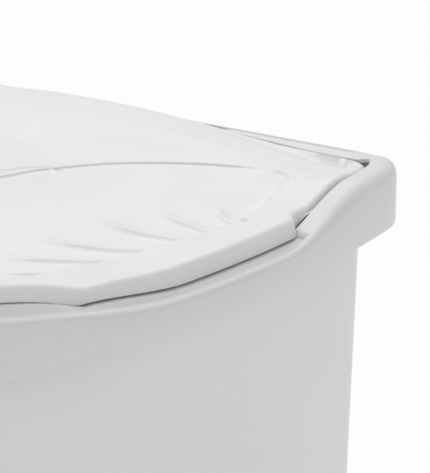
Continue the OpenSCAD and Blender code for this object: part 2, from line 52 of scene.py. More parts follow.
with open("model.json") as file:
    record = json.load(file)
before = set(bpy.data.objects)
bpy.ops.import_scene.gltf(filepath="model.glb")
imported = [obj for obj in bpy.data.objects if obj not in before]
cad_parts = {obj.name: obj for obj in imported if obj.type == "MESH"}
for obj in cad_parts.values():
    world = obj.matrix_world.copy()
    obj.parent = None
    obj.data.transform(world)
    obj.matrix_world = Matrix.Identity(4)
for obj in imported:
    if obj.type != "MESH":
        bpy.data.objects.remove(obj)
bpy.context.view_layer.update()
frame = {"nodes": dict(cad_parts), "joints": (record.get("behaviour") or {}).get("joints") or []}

MM = 0.001
COLLAR_LOW, COLLAR_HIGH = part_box("rim_collar")
HALF_W = COLLAR_HIGH.x
HALF_D = COLLAR_HIGH.y
RIM_Z = COLLAR_LOW.z
PEDAL_HINGE = next(j for j in frame["joints"] if j["name"] == "pedal_hinge")


# ---- sizes and colours that a user may change ----


def length(name, description, default_mm):
    """A size property, given in millimetres and held in metres."""
    return FloatProperty(name=name, description=description, default=default_mm * MM, min=0.0, unit="LENGTH")


def angle(name, description, default_deg):
    start = math.radians(default_deg)
    return FloatProperty(name=name, description=description, default=start, unit="ROTATION")


class BinPlan(bpy.types.PropertyGroup):
    """The outline that the body, the collar and the lid share."""

    back_corner_r: length("Back corner", "Radius of the collar's back corners", 38)
    body_corner_r: length("Body corner", "Radius of the body's back corners, out at the rim", 49)
    side_bow_r: length("Side bow", "Radius of the bowed sides", 680)
    side_turn: angle("Side turn", "Angle through which a side bows", 24)
    front_turn: angle("Front turn", "Angle through which half of the front bows", 20)


class BodySizes(bpy.types.PropertyGroup):
    """Sizes of the bucket."""

    inset: length("Inset", "How far the body lies inside the collar at the top", 17)
    draft: angle("Draft", "Slope of the walls", 1.68)
    wall: length("Wall", "Thickness of the walls", 2.6)
    floor_z: length("Floor height", "Underside of the bucket floor", 54)
    floor_t: length("Floor thickness", "Thickness of the bucket floor", 3)
    gap_w: length("Pedal opening", "Width of the pedal's opening", 76)


class CollarSizes(bpy.types.PropertyGroup):
    """Heights and widths of the rim collar, above its lower edge."""

    wall: length("Wall", "Thickness of the collar", 2.6)
    trough_h: length("Trough", "Height at the middle of a side", 16)
    corner_h: length("Corner", "Height at the back corners", 35.5)
    front_h: length("Front", "Height at the front", 35)
    back_h: length("Back rim", "Height of the rim behind the lid", 30)
    shelf_h: length("Shelf", "Height of the shelf behind the lid", 13.5)
    lip_h: length("Lip", "Height of the lip that the bag folds over", 26)
    deck_w: length("Deck", "Width of the deck along the sides and the front", 19)
    edge_r: length("Edge radius", "Rounding of the upper edge along the sides", 3)
    corner_edge_r: length("Corner edge radius", "Rounding of the upper edge at the back corners", 8)


class LidSizes(bpy.types.PropertyGroup):
    """Heights above the collar's lower edge, and insets from its outside."""

    wall: length("Wall", "Thickness of the lid", 2.4)
    flange_inset: length("Flange inset", "Inset of the flange's lower edge", 10)
    rear_inset: length("Rear inset", "Inset of the lid's rear sides", 16.5)
    back_inset: length("Back inset", "Inset of the lid's rear edge", 20.5)
    flange_low: length("Flange bottom", "Height of the flange's lower edge along the sides", 18.8)
    ridge: length("Ridge", "Height of the flange's top along the sides", 29.5)
    front_rise: length("Front rise", "How far the front arches up", 17)
    hump: length("Hump", "Height of the hump along the back, above its ends", 14.2)
    step: length("Step", "Drop from the tongue to the scooped panels", 1.3)
    scoop: length("Scoop", "Depth of the panels at their outer edge", 8.0)
    rib: length("Rib", "Height of the moulded ribs", 2.0)


class Finishes(bpy.types.PropertyGroup):
    """Base colours and gloss. The collar's colour is the body's white darkened to paint the shade on the
    collar.
    """

    lid_white: FloatVectorProperty(
        name="Lid", description="Plastic of the lid", subtype="COLOR", default=(0.79, 0.79, 0.79))
    body_white: FloatVectorProperty(
        name="Body", description="Plastic of the bucket", subtype="COLOR", default=(0.80, 0.80, 0.80))
    # Painted shade: the collar is the same white plastic as the body, and this colour is darkened to paint
    # the shade on its faces.
    collar_white_painted_shade: FloatVectorProperty(
        name="Collar", description="Plastic of the collar", subtype="COLOR", default=(0.72, 0.72, 0.72))
    pedal_grey: FloatVectorProperty(
        name="Pedal", description="Plastic of the pedal", subtype="COLOR", default=(0.62, 0.62, 0.62))
    plastic_gloss: FloatProperty(
        name="Plastic roughness", description="Roughness of the white plastic", default=0.42, min=0, max=1)


# ---- curves in plan ----


def smooth(t):
    u = np.clip(t, 0.0, 1.0)
    return u * u * (3 - 2 * u)


def plan_arcs(corner):
    """Centre, radius and end angles of the arcs in the right half of the plan, back to front."""
    plan = bpy.context.scene.bin_plan
    turn, nose = plan.side_turn, plan.front_turn
    side_c = np.array([HALF_W - plan.side_bow_r, HALF_D - plan.back_corner_r])
    end = side_c + plan.side_bow_r * np.array([math.cos(turn), -math.sin(turn)])
    a = math.cos(turn) - math.sin(nose)
    b = math.cos(nose) - math.sin(turn)
    det = a * (1 - math.cos(nose)) - math.sin(nose) * b
    nose_corner_r = (end[0] * (1 - math.cos(nose)) - math.sin(nose) * (end[1] + HALF_D)) / det
    front_r = (a * (end[1] + HALF_D) - b * end[0]) / det
    nose_corner_c = end - nose_corner_r * np.array([math.cos(turn), -math.sin(turn)])
    start = -math.asin((corner - plan.back_corner_r) / plan.side_bow_r)
    return [
        (np.array([HALF_W - corner, HALF_D - corner]), corner, math.pi / 2, 0.0),
        (side_c, plan.side_bow_r, start, -turn),
        (nose_corner_c, nose_corner_r, -turn, nose - math.pi / 2),
        (np.array([0.0, front_r - HALF_D]), front_r, nose - math.pi / 2, -math.pi / 2),
    ]


def half_stations(spacing, corner):
    """Points on the plan's right half and their outward normals, from the back middle to the front middle."""
    arcs = plan_arcs(corner)
    straight = HALF_W - corner
    steps = max(2, round(straight / spacing))
    points = [(straight * i / steps, HALF_D) for i in range(steps)]
    normals = [(0.0, 1.0)] * steps
    for centre, radius, start, end in arcs:
        steps = max(2, round(abs(end - start) * radius / spacing))
        for i in range(steps):
            a = start + (end - start) * i / steps
            points.append((centre[0] + radius * math.cos(a), centre[1] + radius * math.sin(a)))
            normals.append((math.cos(a), math.sin(a)))
    points.append((0.0, -HALF_D))
    normals.append((0.0, -1.0))
    return np.array(points), np.array(normals)


def whole(half, sign=-1.0):
    """A loop from its right half: the left half follows, mirrored."""
    left = half[-2:0:-1].copy()
    left[:, 0] *= sign
    return np.concatenate([half, left])


def chaikin(points, rounds=2):
    """A smooth line through the neighbourhood of a few points, with its ends kept."""
    line = np.array(points, float)
    for _ in range(rounds):
        cut = np.empty((2 * (len(line) - 1), 2))
        cut[0::2] = 0.75 * line[:-1] + 0.25 * line[1:]
        cut[1::2] = 0.25 * line[:-1] + 0.75 * line[1:]
        line = np.concatenate([line[:1], cut, line[-1:]])
    return line


def resample(line, spacing):
    """The same line with evenly spaced points."""
    run = np.concatenate([[0], np.cumsum(np.hypot(*np.diff(line, axis=0).T))])
    steps = max(2, round(run[-1] / spacing))
    at = np.linspace(0, run[-1], steps + 1)
    return np.stack([np.interp(at, run, line[:, k]) for k in (0, 1)], axis=1)


def side_normals(line):
    """Unit normals to the left of a line's direction."""
    along = np.gradient(line, axis=0)
    along /= np.maximum(np.hypot(along[:, 0], along[:, 1]), 1e-12)[:, None]
    return np.stack([-along[:, 1], along[:, 0]], axis=1)


def rows_beside(line, offsets, spacing):
    """Rows of points along a line, at these distances to its left."""
    fine = resample(line, spacing)
    normal = side_normals(fine)
    return np.concatenate([fine + normal * d for d in offsets])


def distance_to(points, line):
    """Distance from each point to a line, and how far along the line the nearest place is, from 0 to 1."""
    a, b = line[:-1], line[1:]
    d = b - a
    size = np.maximum((d * d).sum(1), 1e-18)
    run = np.concatenate([[0], np.cumsum(np.sqrt(size))])
    best = np.full(len(points), np.inf)
    along = np.zeros(len(points))
    for i in range(len(a)):
        t = np.clip(((points - a[i]) @ d[i]) / size[i], 0, 1)
        gap = points - a[i] - t[:, None] * d[i]
        dist = np.hypot(gap[:, 0], gap[:, 1])
        nearer = dist < best
        best[nearer] = dist[nearer]
        along[nearer] = (run[i] + t[nearer] * math.sqrt(size[i])) / run[-1]
    return best, along


def inside(points, loop):
    """True for the points inside a closed loop."""
    x, y = points[:, 0], points[:, 1]
    crossings = np.zeros(len(points), bool)
    for (x0, y0), (x1, y1) in zip(loop, np.roll(loop, -1, axis=0)):
        if y0 != y1:
            crossings ^= ((y0 > y) != (y1 > y)) & (x < (x1 - x0) * (y - y0) / (y1 - y0) + x0)
    return crossings


# ---- mesh building ----


class Shell:
    """Gathers points and faces, and makes one object of them."""

    def __init__(self):
        self.mesh = bmesh.new()

    def loft(self, rings, closed=False, cap_start=False, cap_end=False):
        """Faces between rings that have equal counts. A closed loft joins its last ring to its first."""
        rows = [[self.mesh.verts.new(p) for p in ring] for ring in rings]
        count = len(rows[0])
        pairs = list(zip(rows, rows[1:]))
        if closed:
            pairs.append((rows[-1], rows[0]))
        for lower, upper in pairs:
            for j in range(count):
                k = (j + 1) % count
                self.mesh.faces.new((lower[j], lower[k], upper[k], upper[j]))
        if cap_start:
            self.mesh.faces.new(rows[0])
        if cap_end:
            self.mesh.faces.new(rows[-1])

    def lathe(self, profile, matrix, steps=32):
        """A turned solid: profile is (radius, height) pairs from one end to the other, capped at both."""
        turns = [2 * math.pi * i / steps for i in range(steps)]
        self.loft([[matrix @ Vector((r * math.cos(a), r * math.sin(a), h)) for a in turns]
                   for r, h in profile], cap_start=True, cap_end=True)

    def surface(self, points, triangles):
        verts = [self.mesh.verts.new(p) for p in points]
        for t in triangles:
            self.mesh.faces.new([verts[i] for i in t])

    def finish(self, name, material, body, replaces=(), sharp=35.0):
        bmesh.ops.remove_doubles(self.mesh, verts=self.mesh.verts, dist=1e-6)
        bmesh.ops.recalc_face_normals(self.mesh, faces=self.mesh.faces)
        data = bpy.data.meshes.new(name)
        self.mesh.to_mesh(data)
        self.mesh.free()
        data.polygons.foreach_set("use_smooth", [True] * len(data.polygons))
        data.set_sharp_from_angle(angle=math.radians(sharp))
        data.materials.append(material)
        made = bpy.data.objects.new(name, data)
        bpy.context.scene.collection.objects.link(made)
        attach(made, body)
        if replaces:
            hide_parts(*replaces)
        return made


def ring(points, normals, inset, z):
    """Points moved inward by inset, at height z. Either may differ from point to point."""
    flat = points - normals * np.reshape(inset, (-1, 1))
    return np.column_stack([flat, np.broadcast_to(z, len(flat))])


def arc_steps(steps):
    """Sine and one less cosine of angles from 0 to 90 degrees."""
    angles = [math.pi / 2 * i / steps for i in range(steps + 1)]
    return [(math.sin(a), 1 - math.cos(a)) for a in angles]


# ---- materials ----


def node_material(name, colour, roughness, metallic=0.0):
    material = bpy.data.materials.new(name)
    material.use_nodes = True
    shader = material.node_tree.nodes["Principled BSDF"]
    shader.inputs["Base Color"].default_value = (*colour, 1.0)
    shader.inputs["Roughness"].default_value = roughness
    shader.inputs["Metallic"].default_value = metallic
    return material, shader


def add_noise(material, scale, detail=3.0, stretch=(1.0, 1.0, 1.0)):
    """A noise over the object's own coordinates."""
    tree = material.node_tree
    coords = tree.nodes.new("ShaderNodeTexCoord")
    mapping = tree.nodes.new("ShaderNodeMapping")
    mapping.inputs["Scale"].default_value = stretch
    noise = tree.nodes.new("ShaderNodeTexNoise")
    noise.inputs["Scale"].default_value = scale
    noise.inputs["Detail"].default_value = detail
    tree.links.new(coords.outputs["Object"], mapping.inputs["Vector"])
    tree.links.new(mapping.outputs["Vector"], noise.inputs["Vector"])
    return noise


def vary(material, shader, socket, noise, low, high):
    """Runs a shader value from low to high with a noise."""
    tree = material.node_tree
    spread = tree.nodes.new("ShaderNodeMapRange")
    spread.inputs["From Min"].default_value = 0.3
    spread.inputs["From Max"].default_value = 0.7
    spread.inputs["To Min"].default_value = low
    spread.inputs["To Max"].default_value = high
    tree.links.new(noise.outputs["Fac"], spread.inputs["Value"])
    tree.links.new(spread.outputs["Result"], shader.inputs[socket])


def tint(material, shader, noise, dark, light):
    """Runs the base colour between two tones with a noise."""
    tree = material.node_tree
    ramp = tree.nodes.new("ShaderNodeValToRGB")
    ramp.color_ramp.elements[0].position = 0.3
    ramp.color_ramp.elements[0].color = (*dark, 1.0)
    ramp.color_ramp.elements[1].position = 0.7
    ramp.color_ramp.elements[1].color = (*light, 1.0)
    tree.links.new(noise.outputs["Fac"], ramp.inputs["Fac"])
    tree.links.new(ramp.outputs["Color"], shader.inputs["Base Color"])


def emboss(material, shader, noise, strength, depth):
    """Fine relief from a noise."""
    tree = material.node_tree
    bump = tree.nodes.new("ShaderNodeBump")
    bump.inputs["Strength"].default_value = strength
    bump.inputs["Distance"].default_value = depth
    tree.links.new(noise.outputs["Fac"], bump.inputs["Height"])
    tree.links.new(bump.outputs["Normal"], shader.inputs["Normal"])


GRAIN_SCALE = 2200.0
CLOUD_SCALE = 9.0


def moulded_plastic(name, colour, roughness):
    """Satin polypropylene: faint cloudy tone, fine spark-eroded grain and uneven gloss."""
    if name in bpy.data.materials:
        return bpy.data.materials[name]
    material, shader = node_material(name, colour, roughness)
    cloud = add_noise(material, CLOUD_SCALE)
    tint(material, shader, cloud, [c * 0.985 for c in colour], [min(1.0, c * 1.01) for c in colour])
    vary(material, shader, "Roughness", cloud, roughness - 0.04, roughness + 0.05)
    emboss(material, shader, add_noise(material, GRAIN_SCALE), 0.12, 0.00006)
    shader.inputs["Specular IOR Level"].default_value = 0.42
    return material


def zinc_plate(name="zinc plate"):
    """Bright zinc on drawn or stamped steel: fine lengthwise streaks and cloudy gloss."""
    if name in bpy.data.materials:
        return bpy.data.materials[name]
    colour = (0.60, 0.61, 0.62)
    material, shader = node_material(name, colour, 0.32, metallic=1.0)
    tint(material, shader, add_noise(material, 60.0), (0.52, 0.53, 0.55), (0.66, 0.67, 0.68))
    streaks = add_noise(material, 500.0, stretch=(1.0, 0.08, 1.0))
    vary(material, shader, "Roughness", streaks, 0.24, 0.42)
    emboss(material, shader, streaks, 0.15, 0.00005)
    return material


def black_rubber(name="black rubber"):
    """Matt moulded rubber."""
    if name in bpy.data.materials:
        return bpy.data.materials[name]
    material, shader = node_material(name, (0.03, 0.03, 0.03), 0.72)
    cloud = add_noise(material, 80.0)
    tint(material, shader, cloud, (0.022, 0.022, 0.023), (0.040, 0.040, 0.041))
    vary(material, shader, "Roughness", cloud, 0.62, 0.82)
    emboss(material, shader, add_noise(material, 1500.0), 0.35, 0.0001)
    return material


def grey_acetal(name="grey acetal"):
    """Slippery grey plastic of the guides."""
    if name in bpy.data.materials:
        return bpy.data.materials[name]
    material, shader = node_material(name, (0.16, 0.165, 0.17), 0.45)
    cloud = add_noise(material, 40.0)
    tint(material, shader, cloud, (0.14, 0.145, 0.15), (0.18, 0.185, 0.19))
    vary(material, shader, "Roughness", cloud, 0.38, 0.54)
    emboss(material, shader, add_noise(material, 1800.0), 0.15, 0.00005)
    return material


def lid_plastic():
    look = bpy.context.scene.bin_finishes
    return moulded_plastic("lid plastic", look.lid_white, look.plastic_gloss)


def body_plastic():
    look = bpy.context.scene.bin_finishes
    return moulded_plastic("body plastic", look.body_white, look.plastic_gloss + 0.04)


# The collar's material carries painted shade: it is a darkened copy of the body's white.
def collar_plastic_painted_shade():
    look = bpy.context.scene.bin_finishes
    return moulded_plastic("collar plastic", look.collar_white_painted_shade, look.plastic_gloss)


def pedal_plastic():
    look = bpy.context.scene.bin_finishes
    return moulded_plastic("pedal plastic", look.pedal_grey, look.plastic_gloss)


# ---- body ----

SKIRT_Z = 3 * MM
TONGUE_H = 9 * MM
FLOOR_FILLET = 8 * MM


def box_cutter(low, high, radius):
    """A block with rounded upright edges seen from the front, for cutting an opening."""
    cut = bmesh.new()
    bmesh.ops.create_cube(cut, size=1.0)
    size = Vector(high) - Vector(low)
    middle = (Vector(high) + Vector(low)) / 2
    place = Matrix.Translation(middle) @ Matrix.Diagonal((*size, 1.0))
    bmesh.ops.transform(cut, matrix=place, verts=cut.verts)
    along = [e for e in cut.edges if abs((e.verts[0].co - e.verts[1].co).y) > size.y / 2 and
             e.verts[0].co.z > middle.z]
    bmesh.ops.bevel(cut, geom=along, offset=radius, segments=6, affect="EDGES", profile=0.5)
    return cut


def cut_away(made, cutters):
    """Subtracts solids from an object's mesh."""
    joined = bpy.data.meshes.new("cutters")
    whole_cut = bmesh.new()
    for cut in cutters:
        piece = bpy.data.meshes.new("cutter")
        cut.to_mesh(piece)
        cut.free()
        whole_cut.from_mesh(piece)
        bpy.data.meshes.remove(piece)
    whole_cut.to_mesh(joined)
    whole_cut.free()
    tool = bpy.data.objects.new("cutter", joined)
    bpy.context.scene.collection.objects.link(tool)
    change = made.modifiers.new("cut", "BOOLEAN")
    change.operation = "DIFFERENCE"
    change.solver = "EXACT"
    change.object = tool
    bpy.context.view_layer.update()
    result = bpy.data.meshes.new_from_object(made.evaluated_get(bpy.context.evaluated_depsgraph_get()))
    made.modifiers.clear()
    old = made.data
    made.data = result
    result.set_sharp_from_angle(angle=math.radians(35))
    bpy.data.objects.remove(tool)
    bpy.data.meshes.remove(old)


class BIN_OT_body(bpy.types.Operator):
    """Build the tapered bucket with its skirt, floor and foot posts"""

    bl_idname = "pedal_bin.body"
    bl_label = "Body"

    def execute(self, context):
        size = context.scene.bin_body
        half, half_n = half_stations(4 * MM, context.scene.bin_plan.body_corner_r)
        points, normals = whole(half), whole(half_n)
        slope = math.tan(size.draft)

        def at(z, depth=0.0):
            return ring(points, normals, size.inset + (RIM_Z - z) * slope + depth, z)

        top = RIM_Z + TONGUE_H
        floor = size.floor_z + size.floor_t
        edge = 0.6 * MM
        rings = [at(floor, size.wall + FLOOR_FILLET)]
        rings += [at(floor + FLOOR_FILLET * rise, size.wall + FLOOR_FILLET * (1 - run))
                  for run, rise in arc_steps(5)[1:]]
        rings += [at(z, size.wall) for z in (0.3 * top, 0.6 * top, top - edge)]
        rings += [at(top, size.wall - edge), at(top, edge), at(top - edge)]
        rings += [at(z) for z in (RIM_Z - 30 * MM, 0.6 * top, 0.3 * top, floor, SKIRT_Z + 1.2 * MM)]
        rings += [at(SKIRT_Z, 1.0 * MM), at(SKIRT_Z, size.wall - edge), at(SKIRT_Z + edge, size.wall)]
        rings += [at(size.floor_z, size.wall)]
        shell = Shell()
        shell.loft(rings, cap_start=True, cap_end=True)
        made = shell.finish("bucket", body_plastic(), "bin", ["body_shell"])
        gap = box_cutter((-size.gap_w / 2, -HALF_D, -10 * MM),
                         (size.gap_w / 2, -100 * MM, size.floor_z - 2 * MM),
                         9 * MM)
        low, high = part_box("rod_guide_lower")
        hole = bmesh.new()
        middle = (low + high) / 2
        bmesh.ops.create_cone(hole, cap_ends=True, segments=32, radius1=4.9 * MM, radius2=4.9 * MM,
                              depth=20 * MM, matrix=Matrix.Translation(middle))
        cut_away(made, [gap, hole])
        posts = Shell()
        _, foot_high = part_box("rubber_feet")
        for x, y in foot_places():
            posts.lathe([(12 * MM, foot_high.z), (12 * MM, size.floor_z), (9.5 * MM, size.floor_z),
                         (9.5 * MM, foot_high.z + 3 * MM)], Matrix.Translation((x, y, 0)))
        posts.finish("foot_posts", body_plastic(), "bin")
        return {"FINISHED"}


def foot_places():
    """Where the four feet stand: two at the corners of the back, and two nearer the middle in front."""
    low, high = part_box("rubber_feet")
    radius = 12 * MM
    back_x, front_x = high.x - radius, high.x - radius - 23 * MM
    places = [(back_x, high.y - radius), (front_x, low.y + radius)]
    return [(side * x, y) for side in (-1, 1) for x, y in places]


class BIN_OT_feet(bpy.types.Operator):
    """Build the four rubber feet with their turned-in edges and grip ring"""

    bl_idname = "pedal_bin.feet"
    bl_label = "Feet"

    def execute(self, context):
        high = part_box("rubber_feet")[1]
        shell = Shell()
        profile = [(6, 1.0), (7, 1.0), (8, 0), (10.8, 0), (11.6, 0.4), (12, 1.2), (12, 3.4), (11.6, 4.0)]
        for x, y in foot_places():
            shell.lathe([(r * MM, min(h * MM, high.z)) for r, h in profile], Matrix.Translation((x, y, 0)))
        shell.finish("feet", black_rubber(), "bin", ["rubber_feet"])
        return {"FINISHED"}


# ---- rim collar ----


def wave(y):
    """Height of the collar along its length."""
    size = bpy.context.scene.bin_collar
    back = (HALF_D - 140 * MM, HALF_D - 62 * MM)
    front = (-25 * MM, 20 * MM - HALF_D)
    return (size.trough_h
            + (size.corner_h - size.trough_h) * smooth((y - back[0]) / (back[1] - back[0]))
            + (size.front_h - size.trough_h) * smooth((y - front[0]) / (front[1] - front[0])))


RECESS_END = 2 * MM          # from the recess's end to the start of the corner
LEDGE_INSET = 15.5 * MM      # inner edge of the ledge beside the lid's rear part
NOTCH_Y = 74 * MM            # where the lid's flange ends
LIP_FRONT = -60 * MM
WEB_IN = 16.4 * MM           # the wall that stands on the bucket's top edge
FLOOR_H = 12.4 * MM          # floor between the ledge's wall and the web
BEAD = 4 * MM
BAND_H = 29.2 * MM           # raised part of the shelf, towards the corners
GROOVE = 0.6 * MM


def flange_low(y):
    """Height of the flange's lower edge: lowest along the sides, higher towards the front corners."""
    return bpy.context.scene.bin_lid.flange_low + 6.7 * MM * smooth((-15 * MM - y) / (70 * MM))


def hump_crest(x):
    """Height of the hump along the lid's back."""
    size = bpy.context.scene.bin_lid
    return 31 * MM + size.hump * np.cos(math.pi / 2 * np.minimum(np.abs(x) / (165 * MM), 1)) ** 1.05


def recess_section(x, height):
    """The shelf behind the lid, clear of the hump as it dips, and raised where the hump is low."""
    shelf = bpy.context.scene.bin_collar.shelf_h
    inner = bpy.context.scene.bin_collar.deck_w
    band = max(BEAD + 0.5 * MM, 28 * MM - max(float(hump_crest(x)) - 20 * MM, 14 * MM))
    band_h = shelf + (BAND_H - shelf) * float(smooth((band - BEAD) / (3 * MM)))
    deck = [(BEAD - 0.4 * MM, height - 0.1 * MM), (BEAD, height - 0.6 * MM), (BEAD + 0.3 * MM, band_h),
            (band, band_h), (band + 0.5 * MM, band_h - 0.6 * MM), (band + 0.6 * MM, shelf + 0.1 * MM),
            (inner - 0.5 * MM, shelf), (inner, shelf - 0.5 * MM)]
    roof = shelf - 2.6 * MM
    walls = [(inner, h * MM) for h in (12.4, 12.2, 12, 11, 9)]
    return deck, walls + [(WEB_IN, TONGUE_H)] + [(d, roof) for d in (WEB_IN, 12 * MM, 8 * MM, 2.6 * MM)]


def ledge_section(turn, height, radius):
    """The ledge beside the lid's rear part, undercut at the corner for the lid's swing."""
    wall = bpy.context.scene.bin_collar.wall
    inner = LEDGE_INSET
    wall_in = inner - (inner - 12 * MM) * float(smooth((turn - 2) / 15))
    deck = [(d, height) for d in np.linspace(radius + 0.5 * MM, inner - 1.2 * MM, 6)]
    deck += [(inner - 0.3 * MM, height - 0.3 * MM), (inner, height - 1.2 * MM)]
    roof = height - wall
    deep = bpy.context.scene.bin_collar.deck_w
    return deck, [(inner, roof), (wall_in, roof), (wall_in, FLOOR_H), (deep, FLOOR_H), (deep, TONGUE_H),
                  (WEB_IN, TONGUE_H), (WEB_IN, FLOOR_H - 2 * MM), (wall_in - wall, FLOOR_H - 2 * MM),
                  (wall_in - wall, roof), (wall, roof)]


def lip_section(y, height):
    """The rebate that the lid's flange sits in, with its groove and the lip that the bag folds over."""
    size = bpy.context.scene.bin_collar
    front = float(smooth((-86 * MM - y) / (14 * MM)))
    under_flange = float(flange_low(y) + front_lift(y, FRONT_START - 5 * MM)) - 1.0 * MM
    seat = under_flange - 0.4 * MM * (1 - front)
    rise = seat - min(height, seat)
    groove = GROOVE * (1 - front)
    lip = float(smooth((y - LIP_FRONT + 30 * MM) / (30 * MM)))
    lip_h = max(seat, seat + (size.lip_h - seat) * lip)
    inner = size.deck_w
    deck = [(4.6 * MM, height + 0.12 * rise), (5.6 * MM, seat - groove - 0.7 * rise),
            (6.8 * MM, seat - groove - 0.38 * rise), (8.0 * MM, seat - 0.12 * rise),
            (WEB_IN - 0.6 * MM, seat), (WEB_IN, lip_h - 0.5 * MM), (inner - 0.6 * MM, lip_h),
            (inner, lip_h - 0.8 * MM)]
    roof = min(height, seat) - GROOVE - size.wall
    walls = [(inner, h * MM) for h in (14, 13, 12, 11, 9)]
    return deck, walls + [(WEB_IN, TONGUE_H), (WEB_IN, 10 * MM), (WEB_IN, roof - 0.5 * MM), (WEB_IN, roof),
                          (size.wall, roof)]


def collar_profile(x, y, normal):
    """Inset and height of each point round the collar's section, at one place in plan."""
    size = bpy.context.scene.bin_collar
    x = abs(x)
    straight_back = HALF_W - bpy.context.scene.bin_plan.back_corner_r
    turn = math.degrees(math.atan2(normal[1], abs(normal[0])))
    h = float(wave(y))
    h -= (h - size.back_h) * float(smooth((turn - 30) / 55))
    swell = float(smooth((y - 60 * MM) / (50 * MM)) * smooth((88 - turn) / 50))
    radius = size.edge_r + (size.corner_edge_r - size.edge_r) * swell
    if y > HALF_D - MM and x < straight_back - RECESS_END:
        deck, walls = recess_section(x, h)
    elif y > NOTCH_Y:
        deck, walls = ledge_section(turn, h, radius)
    else:
        deck, walls = lip_section(y, h)
    foot = [(size.wall, 0), (0.7 * MM, 0), (0.2 * MM, 0.2 * MM), (0, 0.7 * MM)]
    edge = [(radius * out, h - radius * (1 - up)) for up, out in arc_steps(7)]
    return foot + edge + deck + walls


class BIN_OT_collar(bpy.types.Operator):
    """Build the rim collar with its wave, rounded edge, channel, lip and recess"""

    bl_idname = "pedal_bin.collar"
    bl_label = "Rim collar"

    def execute(self, context):
        corner = context.scene.bin_plan.back_corner_r
        half, half_n = half_stations(2.5 * MM, corner)
        end_x = HALF_W - corner - RECESS_END
        seams = np.array([(end_x - 0.4 * MM, HALF_D), (end_x + 0.1 * MM, HALF_D)])
        far = (np.abs(half[:, 0] - end_x) > 1.2 * MM) | (half[:, 1] < HALF_D - MM)
        before = int(np.sum(half[far][:20 + len(half)][:, 1] > HALF_D - 1e-9) -
                     np.sum((half[far][:, 1] > HALF_D - 1e-9) & (half[far][:, 0] > end_x)))
        half = np.insert(half[far], before, seams, axis=0)
        half_n = np.insert(half_n[far], before, [(0.0, 1.0), (0.0, 1.0)], axis=0)
        points, normals = whole(half), whole(half_n)
        sections = np.array([collar_profile(x, y, n) for (x, y), n in zip(points, normals)])
        rings = [ring(points, normals, sections[:, i, 0], RIM_Z + sections[:, i, 1])
                 for i in range(sections.shape[1])]
        shell = Shell()
        shell.loft(rings, closed=True)
        shell.finish("rim_moulding", collar_plastic_painted_shade(), "bin", ["rim_collar"], sharp=40)
        return {"FINISHED"}


# ---- lid ----

# Edge between the raised tongue and a scooped panel, from the tongue's tip to the panel's rear end
CREASE = chaikin(np.array([(0, 20), (10, 21), (18, 26), (24, 35), (31, 50), (40, 60), (50, 72), (64, 86),
                           (80, 97), (96, 107), (114, 116), (134, 123), (151, 127)]) * MM, 3)
# Outer edge of a panel: round its rear end, along the flange and round the front
PANEL_EDGE = chaikin(np.array([(151, 127), (158, 124), (161, 112), (162, 97), (163, 84), (167, 68),
                               (166, 50), (150, 6), (133, -42), (118, -84), (98, -122), (60, -150),
                               (0, -160)]) * MM, 2)
PANEL = np.concatenate([CREASE, PANEL_EDGE[1:]])
RIBS = [chaikin(np.array(p) * MM, 2) for p in (
    [(140, 74), (144, 65), (152, 58), (160, 55), (168, 54)],
    [(112, 46), (136, 41.5), (161, 36)],
    [(92, 13.5), (124, 17), (154, 19)],
    [(76, -28), (112, -15), (147, -3)],
    [(70, -62), (106, -41), (140, -22)],
    [(78, -84), (104, -65), (131, -46)],
)]
RIB_HALF_W = 3.0 * MM
# Shallow line engraved along the tongue, inside its edge
TONGUE_LINE = chaikin(np.array([(0, 31), (9, 32), (16, 37), (24, 46), (31, 54), (38, 59), (47, 61)]) * MM, 2)
LINE_DEPTH = 0.5 * MM
LINE_HALF_W = 0.7 * MM
FRONT_START = -80 * MM
FRONT_SLOPE = 0.34
REAR_ROLL_Y = 150 * MM
REAR_ROLL_R = 16 * MM
PLATEAU_H = 36.5 * MM
PLATEAU_DROP = 3.2 * MM      # how much lower the plateau is at the panels' rear ends
PANEL_END_X = 151 * MM
LOBE_DEPTH = 2.2 * MM        # depth of a panel's rear end


def front_lift(y, start):
    """How far the front arches up: a steady rise from start that levels off."""
    size = bpy.context.scene.bin_lid
    ramp = FRONT_SLOPE * (start - y)
    soft = 1.2 * MM
    rise = 0.5 * (ramp + np.sqrt(ramp * ramp + soft * soft)) - 0.5 * soft
    full = size.front_rise
    return np.maximum(0, full * np.tanh(rise / full * 1.15))


def ridge_height(y):
    """Height of the flange's top, before the front arches up."""
    return bpy.context.scene.bin_lid.ridge + 3.8 * MM * smooth((-20 * MM - y) / (60 * MM))


def tongue_height(x, y):
    """The tongue and the hump behind it."""
    across = np.minimum(x / PANEL_END_X, 1.0)
    crease_y = np.interp(x, CREASE[:, 0], CREASE[:, 1])
    low = PLATEAU_H - PLATEAU_DROP * across**2 + 0.03 * np.maximum(y - crease_y, 0)
    start = (80 + 48 * across**1.3) * MM
    end = (124 + 22 * across**1.5) * MM
    height = low + (hump_crest(x) - low) * smooth((y - start) / (end - start))
    return height - np.maximum(y - REAR_ROLL_Y, 0) ** 2 / (2 * REAR_ROLL_R)


def outer_height(x, y):
    """The surface outside the panels: the tongue and hump behind the creases, and the flange's band."""
    crease_y = np.interp(x, CREASE[:, 0], CREASE[:, 1])
    plate = PLATEAU_H - PLATEAU_DROP
    band = ridge_height(y)
    band = band + (plate - band) * smooth((y - 80 * MM) / (46 * MM))
    spread = MM * (0.01 + 9 * smooth((x - 140 * MM) / (12 * MM)))
    return band + (tongue_height(x, y) - band) * smooth((y - crease_y + spread) / (2 * spread))


